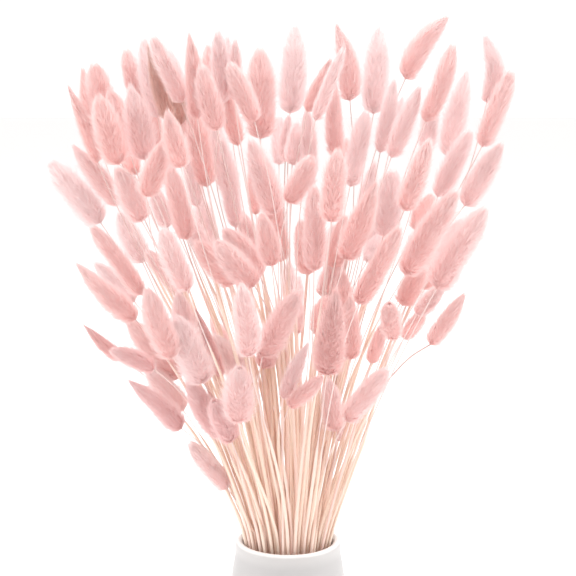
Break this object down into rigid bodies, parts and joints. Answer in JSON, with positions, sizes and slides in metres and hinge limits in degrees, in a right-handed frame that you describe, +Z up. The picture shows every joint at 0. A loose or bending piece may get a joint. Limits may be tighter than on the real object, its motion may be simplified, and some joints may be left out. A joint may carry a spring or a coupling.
{
  "type": "dried bunny tail grass",
  "caption": "Bunch of pink dyed dried bunny tail grass, furry oval seed heads on thin straw stems fanning out of a plain matt white vase.",
  "frame": {"origin": "centre of the flat underside of the vase", "axes": "+Z up along the stems, -Y towards the viewer of the picture, +X to that viewer's right"},
  "size_m": [0.3217, 0.2471, 0.4903],
  "materials": {
    "matt_glaze": "matt off-white glaze",
    "dyed_fur": "soft pink dyed fur of fine awns",
    "straw": "dry peach straw, finely ribbed"
  },
  "bodies": {
    "root": {"vase": "matt_glaze", "tuft_01": "dyed_fur", "tuft_02": "dyed_fur", "tuft_03": "dyed_fur", "tuft_04": "dyed_fur", "tuft_05": "dyed_fur", "tuft_06": "dyed_fur", "tuft_07": "dyed_fur", "tuft_08": "dyed_fur", "tuft_09": "dyed_fur", "tuft_10": "dyed_fur", "tuft_11": "dyed_fur", "tuft_12": "dyed_fur", "tuft_13": "dyed_fur", "tuft_14": "dyed_fur", "tuft_15": "dyed_fur", "tuft_16": "dyed_fur", "tuft_17": "dyed_fur", "tuft_18": "dyed_fur", "tuft_19": "dyed_fur", "tuft_20": "dyed_fur", "tuft_21": "dyed_fur", "tuft_22": "dyed_fur", "tuft_23": "dyed_fur", "tuft_24": "dyed_fur", "tuft_25": "dyed_fur", "tuft_26": "dyed_fur", "tuft_27": "dyed_fur", "tuft_28": "dyed_fur", "tuft_29": "dyed_fur", "tuft_30": "dyed_fur", "tuft_31": "dyed_fur", "tuft_32": "dyed_fur", "tuft_33": "dyed_fur", "tuft_34": "dyed_fur", "tuft_35": "dyed_fur", "tuft_36": "dyed_fur", "tuft_37": "dyed_fur", "tuft_38": "dyed_fur", "tuft_39": "dyed_fur", "tuft_40": "dyed_fur", "tuft_41": "dyed_fur", "tuft_42": "dyed_fur", "tuft_43": "dyed_fur", "tuft_44": "dyed_fur", "tuft_45": "dyed_fur", "tuft_46": "dyed_fur", "tuft_47": "dyed_fur", "tuft_48": "dyed_fur", "tuft_49": "dyed_fur", "tuft_50": "dyed_fur", "tuft_51": "dyed_fur", "tuft_52": "dyed_fur", "tuft_53": "dyed_fur", "tuft_54": "dyed_fur", "tuft_55": "dyed_fur", "tuft_56": "dyed_fur", "tuft_57": "dyed_fur", "tuft_58": "dyed_fur"}
  },
  "joints": []
}
